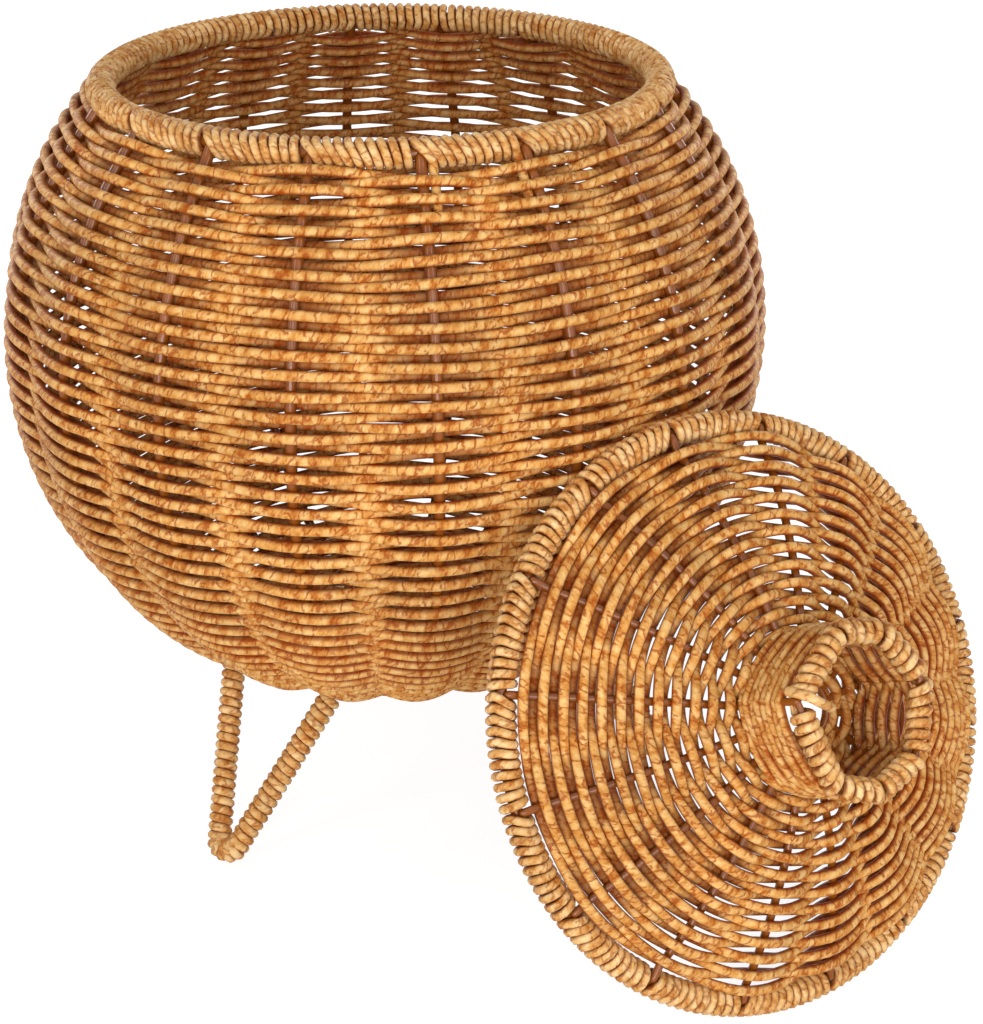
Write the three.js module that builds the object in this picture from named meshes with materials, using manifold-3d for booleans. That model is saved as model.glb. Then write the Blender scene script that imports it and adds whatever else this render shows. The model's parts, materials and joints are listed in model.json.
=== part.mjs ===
// Round woven storage basket on three cord-wrapped hairpin legs, with its domed lid taken off
// and leaning against the ball. Millimetres, +Z up, the floor at z = 0.
// Directions round the basket are angles in degrees from the front (-Y) towards the right (+X).

import * as THREE from 'three';
import { mergeVertices } from 'three/addons/utils/BufferGeometryUtils.js';
import Module from 'manifold-3d';

// Woven ball
const ballDiameter = 252; // over the weave
const mouthDiameter = 177; // centre line of the mouth ring
const baseDiameter = 127; // centre line of the base ring
const hubDiameter = 32; // centre line of the ring at the middle of the base
const baseSpokeCount = 9;
const groundClearance = 52; // from the floor to the underside of the base
const ribCount = 18;
const firstRibAngle = -33.35;

// Wire and cord
const ribWire = 2.6; // ribs, lid spokes, base rings and knob rings
const stakeWire = 2.3; // base spokes and knob stakes, welded to their rings
const mouthWire = 4;
const lidWire = 3.2;
const wovenCord = 2.7; // thickness of one pass of cord in a woven wall
const wallPitch = 3.08; // from one row of the ball to the next
const domePitch = 2.5; // from one row of the dome to the next
const backedCord = 0.6; // cover left over a wire where a row passes behind it
const crossHalf = 1.6; // half the thickness of a weave midway between two wires
const crossGap = 0.5; // between the layers there
const rimCord = 2.7; // thickness of the cord wrapped round a ring
const fit = 0.3; // clearance between pieces that touch

// Legs
const legCount = 3;
const firstLegAngle = -37.5;
const legSpread = 40; // angle between the two ends of a leg on the base ring
const footCircle = 187; // diameter of the circle through the toes
const legWire = 3.2;
const legWrapDiameter = 7.8; // over the cord
const toeBend = 4.2; // radius of the bend, at the middle of the wire
const toeReach = 2; // how far the toe's wrap runs up each limb
const footFlat = 0.5; // depth of the flat worn on the toe
const windPitch = 3; // least distance from one turn to the next
const windGap = 0.5; // between turns
const weldGap = 0.7; // from a leg's end to the base ring, past the fit

// Lid
const lidInset = 5.4; // the lid ring is this much smaller across than the mouth ring
const domeRise = 27; // middle of the woven dome above the lid ring
const lidHubDiameter = 17; // ring at the middle of the dome
const spokeCount = 16;
const firstSpokeAngle = 3.4;

// Knob
const knobSides = 7;
const firstKnobAngle = 40.3;
const knobWidth = 43.6; // across the corners of the knob ring
const knobHeight = 53; // knob ring above the lid ring

// Pose of the lid as it leans on the ball
const leanTilt = 25.1; // lid axis above the horizontal
const leanTurn = 31.7; // direction that the lid faces
const leanBearing = 39.5; // direction of the lid's centre from the basket's axis
const leanGap = 0.4; // between the lid's rim and the ball

// Fineness of the facets
const wallSteps = 7; // along a meridian of the ball
const domeSteps = 4; // along a meridian of the dome
const wireSides = 5;
const bendSteps = 6;
const sleeveSides = 8;
const turnSteps = 6; // for each turn of a winding
const placeTolerance = 1e-3; // two places nearer than this are one

const radians = THREE.MathUtils.degToRad;
const stepAngle = (count) => (2 * Math.PI) / count;

// Sizes that follow
const ballRadius = ballDiameter / 2;
const channelHalf = ribWire / 2 + fit; // half the space between the two layers of a weave
const weaveHalf = channelHalf + wovenCord; // half the thickness of a weave at a wire
const dipHalf = channelHalf + backedCord; // where a row passes behind the wire
const ribRadius = ballRadius - weaveHalf; // sphere through the middle of the ribs
const mouthRadius = mouthDiameter / 2;
const baseRadius = baseDiameter / 2;
const mouthWrapRadius = mouthWire / 2 + fit + rimCord;
const baseHeight = groundClearance + weaveHalf; // middle of the base
const ballHeight = baseHeight + Math.sqrt(ribRadius ** 2 - baseRadius ** 2);
const ballCentre = new THREE.Vector3(0, 0, ballHeight);
const mouthAngle = Math.acos(mouthRadius / ribRadius); // above the ball's equator
const mouthHeight = ballHeight + ribRadius * Math.sin(mouthAngle);
const lidRadius = mouthRadius - lidInset / 2;
const lidWrapRadius = lidWire / 2 + fit + rimCord;
const domeRadius = (lidRadius ** 2 + domeRise ** 2) / (2 * domeRise); // sphere through the spokes
const domeCentre = domeRise - domeRadius; // height of that sphere's centre
const lidHubRadius = lidHubDiameter / 2;
const knobCorner = knobWidth / 2;
const knobWrapRadius = ribWire / 2 + fit + rimCord;
const legWrapRadius = legWrapDiameter / 2;

const wasm = await Module();
wasm.setup();

// Finishes
const cordFinish = { color: 0xc98d48, roughness: 0.62, metalness: 0 };
const innerCordFinish = { color: 0xb87a3a, roughness: 0.65, metalness: 0 };
const wireFinish = { color: 0x6e3b1d, roughness: 0.35, metalness: 0.2 };

function piece(name, geometry, finish) {
  const mesh = new THREE.Mesh(geometry, new THREE.MeshStandardMaterial(finish));
  mesh.name = name;
  return mesh;
}

const numbered = (stem, index) => `${stem}_${String(index + 1).padStart(2, '0')}`;

// Joining and cutting of closed geometries
function solid(geometry) {
  const bare = geometry.clone();
  bare.deleteAttribute('normal');
  bare.deleteAttribute('uv');
  const merged = mergeVertices(bare, placeTolerance);
  const triVerts = new Uint32Array(merged.index.array);
  const vertProperties = merged.attributes.position.array;
  return new wasm.Manifold(new wasm.Mesh({ numProp: 3, vertProperties, triVerts }));
}

function geometryOf(body) {
  const { vertProperties, triVerts } = body.getMesh();
  const geometry = new THREE.BufferGeometry();
  geometry.setAttribute('position', new THREE.BufferAttribute(vertProperties, 3));
  geometry.setIndex(new THREE.BufferAttribute(triVerts, 1));
  geometry.computeVertexNormals();
  return geometry;
}

const joined = (geometries) => geometryOf(geometries.map(solid).reduce((all, next) => all.add(next)));
const cut = (geometry, tools) =>
  geometryOf(tools.map(solid).reduce((rest, tool) => rest.subtract(tool), solid(geometry)));

// A point at a radius and an angle (in radians) round the Z axis
const around = (radius, angle, height) =>
  new THREE.Vector3(radius * Math.sin(angle), -radius * Math.cos(angle), height);

// Corners of a circle, from an angle to another
function arc(radius, from, to, steps, centre = [0, 0]) {
  return Array.from({ length: steps + 1 }, (_, i) => {
    const angle = from + ((to - from) * i) / steps;
    return [centre[0] + radius * Math.cos(angle), centre[1] + radius * Math.sin(angle)];
  });
}

// Revolve of [radius, height] points about Z, with a corner at the first angle
function turned(profile, segments, firstAngle) {
  const points = profile.map(([radius, height]) => new THREE.Vector2(radius, height));
  return new THREE.LatheGeometry(points, segments, firstAngle).rotateX(Math.PI / 2);
}

const closed = (profile) => [...profile, profile[0]];

function ring(radius, height, wire, segments, firstAngle) {
  const section = arc(wire / 2, 0, 2 * Math.PI, wireSides, [radius, height]);
  return turned(section, segments, firstAngle);
}

// Wrap of a ring, open along a slot where the wires that it holds come in.
// slotAngle is the slot's direction in the section, from outwards towards upwards.
function ringWrap(radius, height, wire, wrapRadius, slotAngle, segments, firstAngle) {
  const outerSteps = 6;
  const innerSteps = 4;
  const slotHalf = ribWire / 2 + fit;
  const bore = (wire / 2 + fit) / Math.cos(Math.PI / (innerSteps + 2));
  const outerLip = Math.asin(slotHalf / wrapRadius);
  const innerLip = Math.asin(slotHalf / bore);
  const start = slotAngle + 2 * Math.PI;
  const centre = [radius, height];
  const outside = arc(wrapRadius, slotAngle + outerLip, start - outerLip, outerSteps, centre);
  const inside = arc(bore, start - innerLip, slotAngle + innerLip, innerSteps, centre);
  return turned(closed([...outside, ...inside]), segments, firstAngle);
}

// A path whose points are its steps, so that a straight run takes one step and a bend takes many
class SteppedPath extends THREE.Curve {
  constructor(points) {
    super();
    this.points = points;
  }

  getSpacedPoints() {
    return this.points.map((point) => point.clone());
  }

  getTangentAt(share) {
    const last = this.points.length - 1;
    const here = Math.round(share * last);
    const run = (i) => new THREE.Vector3().subVectors(this.points[i + 1], this.points[i]).normalize();
    const into = run(Math.max(here - 1, 0));
    const out = run(Math.min(here, last - 1));
    return into.add(out).normalize();
  }
}

const circle = (radius, sides) =>
  arc(radius, 0, 2 * Math.PI, sides)
    .slice(0, -1)
    .map(([x, y]) => new THREE.Vector2(x, y));

function along(section, points) {
  const extrudePath = new SteppedPath(points);
  return new THREE.ExtrudeGeometry(section, { steps: points.length - 1, extrudePath });
}

const wireAlong = (points, wire, sides) => along(new THREE.Shape(circle(wire / 2, sides)), points);

function sleeveAlong(points, radius, wire, sides) {
  const section = new THREE.Shape(circle(radius, sides));
  section.holes.push(new THREE.Path(circle((wire / 2 + fit) / Math.cos(Math.PI / sides), sides)));
  return along(section, points);
}

// Straight round bar between two points
function bar(from, to, wire, sides) {
  return wireAlong([from, to], wire, sides);
}

// A body round the Z axis whose section changes on the way. A column is a list of [station, radius,
// height] points. Stations pair up the points of neighbouring columns, whose counts may differ.
function columned(columns, firstAngle) {
  const positions = [];
  const starts = columns.map((column, i) => {
    const start = positions.length / 3;
    const angle = firstAngle + i * stepAngle(columns.length);
    column.forEach(([, radius, height]) => positions.push(...around(radius, angle, height).toArray()));
    return start;
  });
  const index = [];
  columns.forEach((column, i) => {
    const next = (i + 1) % columns.length;
    const beside = columns[next];
    let a = 0;
    let b = 0;
    while (a < column.length - 1 || b < beside.length - 1) {
      const corners = [starts[i] + a, starts[next] + b];
      const ahead = a < column.length - 1 ? column[a + 1][0] : Infinity;
      const aheadBeside = b < beside.length - 1 ? beside[b + 1][0] : Infinity;
      if (ahead <= aheadBeside) {
        a += 1;
        index.push(...corners, starts[i] + a);
      } else {
        b += 1;
        index.push(...corners, starts[next] + b);
      }
    }
  });
  const geometry = new THREE.BufferGeometry();
  geometry.setAttribute('position', new THREE.Float32BufferAttribute(positions, 3));
  geometry.setIndex(index);
  geometry.computeVertexNormals();
  return geometry;
}

// Stations of a face of a weave: its inner edge, the corner of the base and its outer edge
const innerStation = 0;
const cornerStation = 1;
const outerStation = 2;

// Section of a weave: two layers of cord with the wires between them, closed at its inner edge and
// open at its outer edge. Each of its four faces is a line from the inner edge to the outer edge.
function wovenProfile(lines) {
  const span = outerStation + 1;
  return lines.flatMap((line, i) => {
    const backwards = i % 2 === 1;
    const stationOf = (station) => span * i + (backwards ? outerStation - station : station);
    const points = line.map(([station, ...place]) => [stationOf(station), ...place]);
    return backwards ? points.reverse() : points;
  });
}

// Brings a column back to its start
function closedColumn(column) {
  const [, ...start] = column[0];
  const [lastStation] = column.at(-1);
  return [...column, [lastStation + 1, ...start]];
}

// [share, offset] pairs of a face along a meridian, from its start to its outer edge
const evenShares = (steps) => Array.from({ length: steps }, (_, i) => (i + 1) / steps);
const plainFace = (offset, steps, startOffset = offset) => [
  [0, startOffset],
  ...evenShares(steps).map((share) => [share, offset]),
];

// Face over a wire, where every second row passes in front of it
function rowedFace(rows, firstRow) {
  const row = (_, i) => [(i + 0.5) / rows, (i + firstRow) % 2 === 0 ? weaveHalf : dipHalf];
  return [[0, weaveHalf], ...Array.from({ length: rows }, row), [1, weaveHalf]];
}

// The four faces of a weave in a column: at a wire, or midway to the next, where the layers draw together
function wovenFaces(column, rows, steps) {
  const atWire = column % 2 === 0;
  const layer = (half, crossing) => plainFace(atWire ? half : crossing, steps, half);
  return [
    atWire ? rowedFace(rows, column / 2) : layer(weaveHalf, crossHalf),
    layer(channelHalf, crossGap / 2),
    layer(-channelHalf, -crossGap / 2),
    layer(-weaveHalf, -crossHalf),
  ];
}

// Basket
const ribAngle = (index) => radians(firstRibAngle) + index * stepAngle(ribCount);
const bodySegments = ribCount * 2;
const baseCorner = (radius, height) => Math.asin((height - ballHeight) / radius);
const weaveTop = mouthAngle - (mouthWrapRadius + fit) / ribRadius;
const wallBottom = baseCorner(ribRadius, baseHeight);
const wallAngle = (share) => wallBottom + (weaveTop - wallBottom) * share;
const wallRows = Math.round(((weaveTop - wallBottom) * ribRadius) / wallPitch);
const onMeridian = (radius, angle) => [radius * Math.cos(angle), ballHeight + radius * Math.sin(angle)];

// One face of the basket's weave, with its base a distance under the middle of the base's wires
function bodyLine(baseOffset, innerEdge, face) {
  const height = baseHeight - baseOffset;
  const wall = face.map(([share, offset]) => {
    const radius = ribRadius + offset;
    const angle = share === 0 ? baseCorner(radius, height) : wallAngle(share);
    return [cornerStation + share, ...onMeridian(radius, angle)];
  });
  return [[innerStation, innerEdge, height], ...wall];
}

function bodyWeave() {
  const channelEnd = hubDiameter / 2 - channelHalf;
  const columns = Array.from({ length: bodySegments }, (_, column) => {
    const [face, channelFace, backChannelFace, backFace] = wovenFaces(column, wallRows, wallSteps);
    return wovenProfile([
      bodyLine(weaveHalf, 0, face),
      bodyLine(channelHalf, channelEnd, channelFace),
      bodyLine(-channelHalf, channelEnd, backChannelFace),
      bodyLine(-weaveHalf, 0, backFace),
    ]);
  });
  return columned(columns, radians(firstRibAngle));
}

function rib(index) {
  const foot = wallBottom + channelHalf / ribRadius;
  const head = mouthAngle - (mouthWire / 2 + fit) / ribRadius;
  return [foot, ...evenShares(wallSteps).map(wallAngle), head].map((angle) => {
    const [radius, height] = onMeridian(ribRadius, angle);
    return around(radius, ribAngle(index), height);
  });
}

// Base ring, spokes and middle ring, welded together
function baseFrame() {
  const start = radians(firstRibAngle);
  const spokes = Array.from({ length: baseSpokeCount }, (_, i) => {
    const angle = start + i * stepAngle(baseSpokeCount);
    const inner = around(hubDiameter / 2, angle, baseHeight);
    const outer = around(baseRadius, angle, baseHeight);
    return bar(inner, outer, stakeWire, wireSides);
  });
  const outerRing = ring(baseRadius, baseHeight, ribWire, bodySegments, start);
  const innerRing = ring(hubDiameter / 2, baseHeight, ribWire, ribCount, start);
  return joined([outerRing, innerRing, ...spokes]);
}

// A hairpin leg, in the plane through its toe and its two ends on the base ring
function hairpin(index) {
  const angle = radians(firstLegAngle) + index * stepAngle(legCount);
  const halfSpread = radians(legSpread) / 2;
  const toe = around(footCircle / 2, angle, legWrapRadius - footFlat);
  const sideways = new THREE.Vector3(Math.cos(angle), Math.sin(angle), 0);
  const middle = around(baseRadius * Math.cos(halfSpread), angle, baseHeight);
  const rise = middle.clone().sub(toe);
  const height = rise.length();
  const upwards = rise.normalize();
  const half = baseRadius * Math.sin(halfSpread);
  const place = (x, y) => toe.clone().addScaledVector(sideways, x).addScaledVector(upwards, y);

  const reach = Math.hypot(half, height - toeBend);
  const tangent = Math.atan2(height - toeBend, half) - Math.acos(toeBend / reach);
  const bend = arc(toeBend, -Math.PI - tangent, tangent, bendSteps, [0, toeBend]);
  const bendPoints = bend.map(([x, y]) => place(x, y));
  const limbs = [bendPoints[0], bendPoints[bendSteps]].map((foot, side) => {
    const top = place(side === 0 ? -half : half, height);
    const direction = top.clone().sub(foot).normalize();
    const end = top.addScaledVector(direction, -(ribWire / 2 + fit + weldGap));
    return { foot, direction, end };
  });
  return { toe, bendPoints, limbs };
}

const upLimb = (limb, distance) => limb.foot.clone().addScaledVector(limb.direction, distance);

function legWireOf({ bendPoints, limbs }) {
  return wireAlong([limbs[0].end, ...bendPoints, limbs[1].end], legWire, wireSides);
}

function toeWrap({ toe, bendPoints, limbs }) {
  const points = [upLimb(limbs[0], toeReach), ...bendPoints, upLimb(limbs[1], toeReach)];
  const sleeve = sleeveAlong(points, legWrapRadius, legWire, sleeveSides);
  const floor = new THREE.BoxGeometry(footCircle, footCircle, groundClearance);
  floor.translate(toe.x, toe.y, -groundClearance / 2);
  return cut(sleeve, [floor]);
}

// Cord wound up a limb as one tube: a straight tail, the turns, and a straight tail under the weave
function winding(name, limb) {
  const lean = Math.sqrt(1 - limb.direction.z ** 2);
  const top = (groundClearance - fit - legWrapRadius * lean - limb.foot.z) / limb.direction.z;
  const inner = (legWire / 2 + fit) / Math.cos(Math.PI / turnSteps);
  const middle = (inner + legWrapRadius) / 2;
  const halfDepth = (legWrapRadius - inner) / 2;
  const width = windPitch - windGap;
  const first = toeReach + fit + width;
  const last = top - width;
  const turns = Math.floor((last - first) / windPitch);
  const steps = turns * turnSteps;

  const side = new THREE.Vector3(0, 0, 1).cross(limb.direction).normalize();
  const front = limb.direction.clone().cross(side);
  const axes = (angle) => {
    const out = side.clone().multiplyScalar(Math.cos(angle)).addScaledVector(front, Math.sin(angle));
    return { out, onward: limb.direction.clone().cross(out) };
  };
  const sections = [];
  const section = (distance, angle, alongTurn, alongLimb) => {
    const { out, onward } = axes(angle);
    const centre = upLimb(limb, distance).addScaledVector(out, middle);
    const across = onward.multiplyScalar(alongTurn).addScaledVector(limb.direction, alongLimb);
    const corner = (depth, wide) =>
      centre.clone().addScaledVector(out, depth * halfDepth).addScaledVector(across, (wide * width) / 2);
    sections.push([corner(1, 0), corner(0, -1), corner(-1, 0), corner(0, 1)]);
  };
  section(first - width, 0, -1, 0);
  for (let i = 0; i <= steps; i += 1) {
    const atEnd = i === 0 || i === steps;
    section(first + ((last - first) * i) / steps, i * stepAngle(turnSteps), atEnd ? -1 : 0, 1);
  }
  section(last + width, steps * stepAngle(turnSteps), -1, 0);

  console.log(`${name}: ${turns} turns, least gap to itself ${leastGap(sections).toFixed(2)} mm`);
  return skinned(sections);
}

// Least distance between corners of the tube that lie half a turn or more apart along it
function leastGap(sections) {
  let least = Infinity;
  sections.forEach((here, i) => {
    sections.slice(i + Math.ceil(turnSteps / 2) + 1).forEach((there) => {
      here.forEach((a) => there.forEach((b) => (least = Math.min(least, a.distanceTo(b)))));
    });
  });
  return least;
}

// A closed tube through sections of equal count
function skinned(sections) {
  const sides = sections[0].length;
  const positions = sections.flat().flatMap((corner) => corner.toArray());
  const index = [];
  for (let i = 0; i < sections.length - 1; i += 1) {
    for (let k = 0; k < sides; k += 1) {
      const a = i * sides + k;
      const b = i * sides + ((k + 1) % sides);
      index.push(a, b, a + sides, b, b + sides, a + sides);
    }
  }
  const end = (sections.length - 1) * sides;
  for (let k = 1; k < sides - 1; k += 1) {
    index.push(0, k + 1, k, end, end + k, end + k + 1);
  }
  const geometry = new THREE.BufferGeometry();
  geometry.setAttribute('position', new THREE.Float32BufferAttribute(positions, 3));
  geometry.setIndex(index);
  geometry.computeVertexNormals();
  return geometry;
}

function basket() {
  const group = new THREE.Group();
  const start = radians(firstRibAngle);
  const legs = Array.from({ length: legCount }, (_, i) => hairpin(i));
  const holeWidth = (legWire + 2 * fit) / Math.cos(Math.PI / wireSides);
  const legHoles = legs.flatMap(({ limbs }) =>
    limbs.map(({ foot, direction, end }) =>
      bar(foot, end.clone().addScaledVector(direction, fit), holeWidth, wireSides),
    ),
  );
  group.add(piece('body_weave', cut(bodyWeave(), legHoles), cordFinish));
  const mouthRing = ring(mouthRadius, mouthHeight, mouthWire, bodySegments, start);
  group.add(piece('mouth_ring', mouthRing, wireFinish));
  const slot = mouthAngle - Math.PI / 2; // down the meridian, where the ribs come in
  const wrap = ringWrap(mouthRadius, mouthHeight, mouthWire, mouthWrapRadius, slot, bodySegments, start);
  group.add(piece('mouth_wrap', wrap, cordFinish));
  group.add(piece('base_frame', baseFrame(), wireFinish));
  for (let i = 0; i < ribCount; i += 1) {
    group.add(piece(numbered('rib', i), wireAlong(rib(i), ribWire, wireSides), wireFinish));
  }
  legs.forEach((leg, i) => {
    group.add(piece(`leg_wire_${i + 1}`, legWireOf(leg), wireFinish));
    group.add(piece(`toe_wrap_${i + 1}`, toeWrap(leg), cordFinish));
    leg.limbs.forEach((limb, side) => {
      const name = `leg_wrap_${i + 1}${side === 0 ? '_left' : '_right'}`;
      group.add(piece(name, winding(name, limb), cordFinish));
    });
  });
  return group;
}

// Lid, about its own axis, with its ring at height 0
const spokeAngle = (index) => radians(firstSpokeAngle) + index * stepAngle(spokeCount);
const lidSegments = spokeCount * 2;
const domeEdge = Math.acos(lidRadius / domeRadius); // angle of the lid ring above the dome's equator
const domeHub = Math.acos(lidHubRadius / domeRadius);
const domeRim = domeEdge + (lidWrapRadius + fit) / domeRadius;
const onDome = (radius, angle) => [radius * Math.cos(angle), domeCentre + radius * Math.sin(angle)];
const domeAngle = (share) => domeHub + (domeRim - domeHub) * share;
const domeRows = Math.round(((domeHub - domeRim) * domeRadius) / domePitch);

// One face of the dome's weave, from an angle past the hub ring to the rim
function domeLine(edge, face) {
  return face.map(([share, offset]) => {
    const angle = share === 0 ? edge : domeAngle(share);
    return [outerStation * share, ...onDome(domeRadius + offset, angle)];
  });
}

function lidWeave() {
  const channelEnd = domeHub + channelHalf / domeRadius;
  const edge = domeHub + weaveHalf / domeRadius;
  const columns = Array.from({ length: lidSegments }, (_, column) => {
    const [face, channelFace, backChannelFace, backFace] = wovenFaces(column, domeRows, domeSteps);
    const profile = wovenProfile([
      domeLine(edge, backFace),
      domeLine(channelEnd, backChannelFace),
      domeLine(channelEnd, channelFace),
      domeLine(edge, face),
    ]);
    return closedColumn(profile);
  });
  return columned(columns, radians(firstSpokeAngle));
}

function spoke(index) {
  const head = domeHub - channelHalf / domeRadius;
  const foot = domeEdge + (lidWire / 2 + fit) / domeRadius;
  return [head, ...evenShares(domeSteps).map(domeAngle), foot].map((angle) => {
    const [radius, height] = onDome(domeRadius, angle);
    return around(radius, spokeAngle(index), height);
  });
}

// Knob: a seven-sided woven tube on a welded frame, wrapped along its top edge
const knobStart = radians(firstKnobAngle);
const knobFlat = Math.cos(Math.PI / knobSides); // from a corner's radius to a side's
const knobSide = (offset) => knobCorner + offset / knobFlat; // corner of a face set off from the ring
const knobBore = knobCorner * knobFlat - weaveHalf; // least radius inside the knob
const knobFoot = domeCentre + Math.sqrt((domeRadius + weaveHalf) ** 2 - knobBore ** 2) + fit;
const knobBase = knobFoot + weaveHalf; // middle of the frame's lower ring

function knobFrame() {
  const stakes = Array.from({ length: knobSides }, (_, i) => {
    const angle = knobStart + i * stepAngle(knobSides);
    const foot = around(knobCorner, angle, knobBase);
    const head = around(knobCorner, angle, knobHeight);
    return bar(foot, head, stakeWire, wireSides);
  });
  const ringAt = (height) => ring(knobCorner, height, ribWire, knobSides, knobStart);
  return joined([ringAt(knobBase), ringAt(knobHeight), ...stakes]);
}

function knobWeave() {
  const top = knobHeight - knobWrapRadius - fit;
  const line = (offset, from) => [
    [innerStation, knobSide(offset), from],
    [outerStation, knobSide(offset), top],
  ];
  const channelEnd = knobBase - channelHalf;
  const profile = wovenProfile([
    line(weaveHalf, knobFoot),
    line(channelHalf, channelEnd),
    line(-channelHalf, channelEnd),
    line(-weaveHalf, knobFoot),
  ]);
  return columned(Array(knobSides).fill(closedColumn(profile)), knobStart);
}

function lid() {
  const group = new THREE.Group();
  const start = radians(firstSpokeAngle);
  group.add(piece('lid_weave', lidWeave(), innerCordFinish));
  group.add(piece('lid_ring', ring(lidRadius, 0, lidWire, lidSegments, start), wireFinish));
  const slot = domeEdge + Math.PI / 2; // up the dome, where the spokes come in
  const rimWrap = ringWrap(lidRadius, 0, lidWire, lidWrapRadius, slot, lidSegments, start);
  group.add(piece('lid_wrap', rimWrap, cordFinish));
  const hubHeight = domeCentre + domeRadius * Math.sin(domeHub);
  group.add(piece('lid_hub_ring', ring(lidHubRadius, hubHeight, ribWire, spokeCount, start), wireFinish));
  for (let i = 0; i < spokeCount; i += 1) {
    group.add(piece(numbered('lid_spoke', i), wireAlong(spoke(i), ribWire, wireSides), wireFinish));
  }
  group.add(piece('knob_frame', knobFrame(), wireFinish));
  group.add(piece('knob_weave', knobWeave(), cordFinish));
  const downwards = -Math.PI / 2;
  const wrap = ringWrap(knobCorner, knobHeight, ribWire, knobWrapRadius, downwards, knobSides, knobStart);
  group.add(piece('knob_wrap', wrap, cordFinish));
  return group;
}

// Radius of the weave between two ribs at an angle above the ball's equator, on the nearest facet
function facetRadius(angle) {
  const step = (weaveTop - wallBottom) / wallSteps;
  const middle = wallBottom + (Math.floor((angle - wallBottom) / step) + 0.5) * step;
  return ((ribRadius + crossHalf) * Math.cos(step / 2)) / Math.cos(angle - middle);
}

// Stand the lid on its edge with its back against the ball, between two ribs
function leaning(group) {
  const tilt = radians(leanTilt);
  const turn = radians(leanTurn);
  const bearing = radians(leanBearing);
  const axis = around(Math.cos(tilt), turn, Math.sin(tilt));
  const level = new THREE.Vector3(Math.cos(turn), Math.sin(turn), 0);
  const height = lidRadius * Math.cos(tilt) + lidWrapRadius + fit;

  const gapToBall = (distance) => {
    const fromBall = around(distance, bearing, height).sub(ballCentre);
    const inwards = fromBall.clone().projectOnPlane(axis).setLength(-lidRadius);
    const nearest = fromBall.add(inwards); // point of the lid ring, from the ball's centre
    const reach = nearest.length();
    return reach - lidWrapRadius - facetRadius(Math.asin(nearest.z / reach));
  };
  let near = lidRadius;
  let far = lidRadius + ballDiameter;
  while (far - near > placeTolerance) {
    const distance = (near + far) / 2;
    if (gapToBall(distance) > leanGap) far = distance;
    else near = distance;
  }
  const steep = axis.clone().cross(level);
  group.quaternion.setFromRotationMatrix(new THREE.Matrix4().makeBasis(level, steep, axis));
  group.position.copy(around(far, bearing, height));
  return group;
}

// The whole part, centred over the middle of its footprint
const storageBasket = new THREE.Group();
storageBasket.add(basket(), leaning(lid()));
const footprint = new THREE.Box3().setFromObject(storageBasket, true).getCenter(new THREE.Vector3());
storageBasket.position.set(-footprint.x, -footprint.y, 0);

export default storageBasket;
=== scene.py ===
"""Round woven storage basket on three wrapped hairpin legs, with its domed lid leaning against it.

Sizes are in millimetres in the basket's or the lid's own axes. A run of cord or wire is turned into
metres in the shared frame when it is laid. Angles round an axis start at the front and go to the right.
"""

import json
import math
import random

import bmesh
import bpy
import numpy as np
from mathutils import Matrix, Vector


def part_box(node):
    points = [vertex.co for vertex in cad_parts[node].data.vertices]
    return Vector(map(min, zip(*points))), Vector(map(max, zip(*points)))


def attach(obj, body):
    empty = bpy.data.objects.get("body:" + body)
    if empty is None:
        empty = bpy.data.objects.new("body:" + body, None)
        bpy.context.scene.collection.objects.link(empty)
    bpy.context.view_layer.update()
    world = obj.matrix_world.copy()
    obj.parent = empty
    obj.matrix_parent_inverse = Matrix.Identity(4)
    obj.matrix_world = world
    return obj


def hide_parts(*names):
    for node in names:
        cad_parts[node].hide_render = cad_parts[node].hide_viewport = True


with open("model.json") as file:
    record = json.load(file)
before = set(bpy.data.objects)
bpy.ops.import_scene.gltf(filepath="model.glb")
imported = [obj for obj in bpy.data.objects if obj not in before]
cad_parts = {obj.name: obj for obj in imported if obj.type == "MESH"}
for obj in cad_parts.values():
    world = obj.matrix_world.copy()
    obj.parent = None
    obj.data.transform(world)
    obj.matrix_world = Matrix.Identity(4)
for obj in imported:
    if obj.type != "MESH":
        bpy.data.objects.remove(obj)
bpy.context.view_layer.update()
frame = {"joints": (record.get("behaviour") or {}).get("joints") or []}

# Woven ball
ball_diameter = 252
mouth_radius = 88.5
base_radius = 63.5
hub_radius = 16
hub_turns = 5  # of cord inside the base's hub ring
base_spoke_count = 9
ground_clearance = 52  # from the floor to the underside of the base
rib_count = 18
first_rib = math.radians(-33.35)
wall_rows = 73
row_stray = 0.8  # of a row along the wall, up and down
mouth_stray = 0.9  # more than that at the mouth
stray_rise = 6  # power of the height by which it grows
row_shift = 0.2  # most that a whole row is out of its place
mouth_group = 10  # turns of the winding between two ribs
mouth_gap = 4.2  # left for each rib
rim_tail_places = ((2, 1), (3, -1))  # rib, and which side of it

# Wire and cord
rib_wire = 3.5  # ribs and base
spoke_wire = 2.5  # spokes and hub ring of the lid
stake_wire = 2.3  # knob
mouth_wire = 4
lid_wire = 3.2
wall_cord = 3.34  # where it passes a rib
dome_cord = 3.25  # where it passes a spoke
cord = 2.85  # woven cord of the base and the knob
rim_cord = 2.7  # cord wound round the mouth and the lid's edge
rim_gap = 0.2  # between that cord and the mouth's wire
weave_half = 4.3  # half the thickness of a weave
swing = weave_half - wall_cord / 2  # of a row to each side of the wires that it passes
painted_shade_start = 0.4  # turn at which the painted shade of a crease begins
wall_squeeze = 0.9  # width of a row midway between two ribs, as a share
dome_squeeze = 0.87

# Legs
leg_count = 3
first_leg = math.radians(-37.5)
leg_spread = math.radians(40)
foot_radius = 93.5
leg_wrap = 8.2  # over the cord
toe_bend = 4.2  # radius of the bend, at the middle of the wire
foot_flat = 0.5  # depth of the flat worn on the toe
leg_pitch = 3.0  # from one turn of the winding to the next
leg_cord = 3.05

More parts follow.
